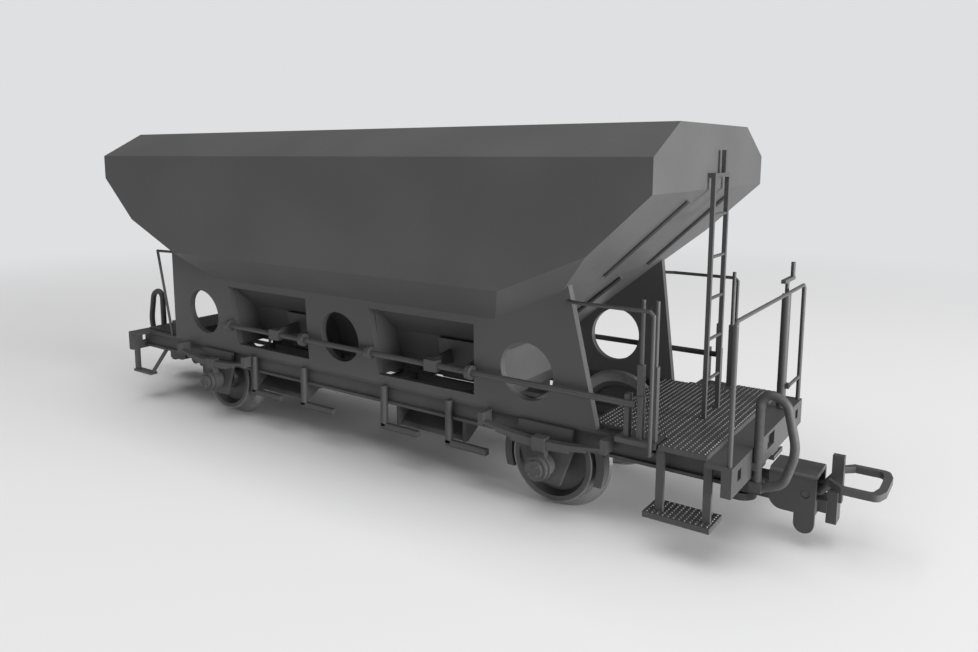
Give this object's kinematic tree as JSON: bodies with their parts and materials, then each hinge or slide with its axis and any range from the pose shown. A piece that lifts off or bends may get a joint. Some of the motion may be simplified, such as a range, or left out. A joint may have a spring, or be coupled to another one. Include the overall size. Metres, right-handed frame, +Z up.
{
  "type": "model open hopper wagon",
  "caption": "Model open hopper railway wagon with faceted hopper, side discharge gear, end platform, ladder and loop couplings.",
  "frame": {"origin": "on the floor under the middle of the wagon, at the lowest point of the wheel flanges", "axes": "+X along the wagon to the platform end, +Y to the left, +Z up"},
  "size_m": [0.1224, 0.034, 0.0434],
  "materials": {
    "hopper": "satin dark grey moulding",
    "frame": "satin dark grey moulding",
    "fittings": "satin dark grey wire and etched parts",
    "wheels": "darkened turned metal",
    "couplers": "satin dark grey moulding"
  },
  "bodies": {
    "frame": {"axle_guards": "frame", "axleboxes": "frame", "brake_hose_front": "fittings", "brake_hose_rear": "fittings", "brake_rods": "frame", "brake_shoes": "frame", "control_shaft_left": "fittings", "control_shaft_right": "fittings", "coupler_pocket_front": "frame", "coupler_pocket_rear": "frame", "cross_members": "frame", "cross_walls_left": "hopper", "cross_walls_right": "hopper", "discharge_chutes_left": "hopper", "discharge_chutes_right": "hopper", "discharge_flaps_left": "hopper", "discharge_flaps_right": "hopper", "end_beam_front": "frame", "end_beam_rear": "frame", "end_railing": "fittings", "handbrake_column": "fittings", "handbrake_crank": "fittings", "handrail_left": "fittings", "handrail_right": "fittings", "hopper_end_front": "hopper", "hopper_end_rear": "hopper", "hopper_saddle": "hopper", "hopper_side_left": "hopper", "hopper_side_right": "hopper", "ladder": "fittings", "leaf_springs": "frame", "platform_deck": "fittings", "rear_deck": "fittings", "rear_handrail_left": "fittings", "rear_handrail_right": "fittings", "release_levers_left": "fittings", "release_levers_right": "fittings", "rim_panel_left": "hopper", "rim_panel_right": "hopper", "shaft_brackets_left": "fittings", "shaft_brackets_right": "fittings", "side_plate_left": "hopper", "side_plate_right": "hopper", "solebar_left": "frame", "solebar_right": "frame", "spring_brackets": "frame", "step_left": "fittings", "step_right": "fittings", "stirrup_left": "fittings", "stirrup_right": "fittings"},
    "wheelset_front": {"axle_front": "wheels", "wheels_front": "wheels"},
    "wheelset_rear": {"axle_rear": "wheels", "wheels_rear": "wheels"},
    "coupler_front": {"coupler_head_front": "couplers"},
    "coupler_rear": {"coupler_head_rear": "couplers"},
    "loop_front": {"coupler_loop_front": "couplers"},
    "loop_rear": {"coupler_loop_rear": "couplers"}
  },
  "joints": [
    {"name": "wheels_front_turn", "type": "hinge", "parent": "frame", "child": "wheelset_front", "pos_m": [0.0287, 0, 0.0063], "axis": [0, 1, 0], "continuous": true},
    {"name": "wheels_rear_turn", "type": "hinge", "parent": "frame", "child": "wheelset_rear", "pos_m": [-0.0287, 0, 0.0063], "axis": [0, 1, 0], "continuous": true},
    {"name": "coupler_front_swing", "type": "hinge", "parent": "frame", "child": "coupler_front", "pos_m": [0.0468, 0, 0.0048], "axis": [0, 0, 1], "range_deg": [-12, 12]},
    {"name": "coupler_rear_swing", "type": "hinge", "parent": "frame", "child": "coupler_rear", "pos_m": [-0.0468, 0, 0.0048], "axis": [0, 0, 1], "range_deg": [-12, 12]},
    {"name": "loop_front_lift", "type": "hinge", "parent": "coupler_front", "child": "loop_front", "pos_m": [0.0539, 0, 0.0059], "axis": [0, -1, 0], "range_deg": [0, 15]},
    {"name": "loop_rear_lift", "type": "hinge", "parent": "coupler_rear", "child": "loop_rear", "pos_m": [-0.0539, 0, 0.0059], "axis": [0, 1, 0], "range_deg": [0, 15]}
  ]
}
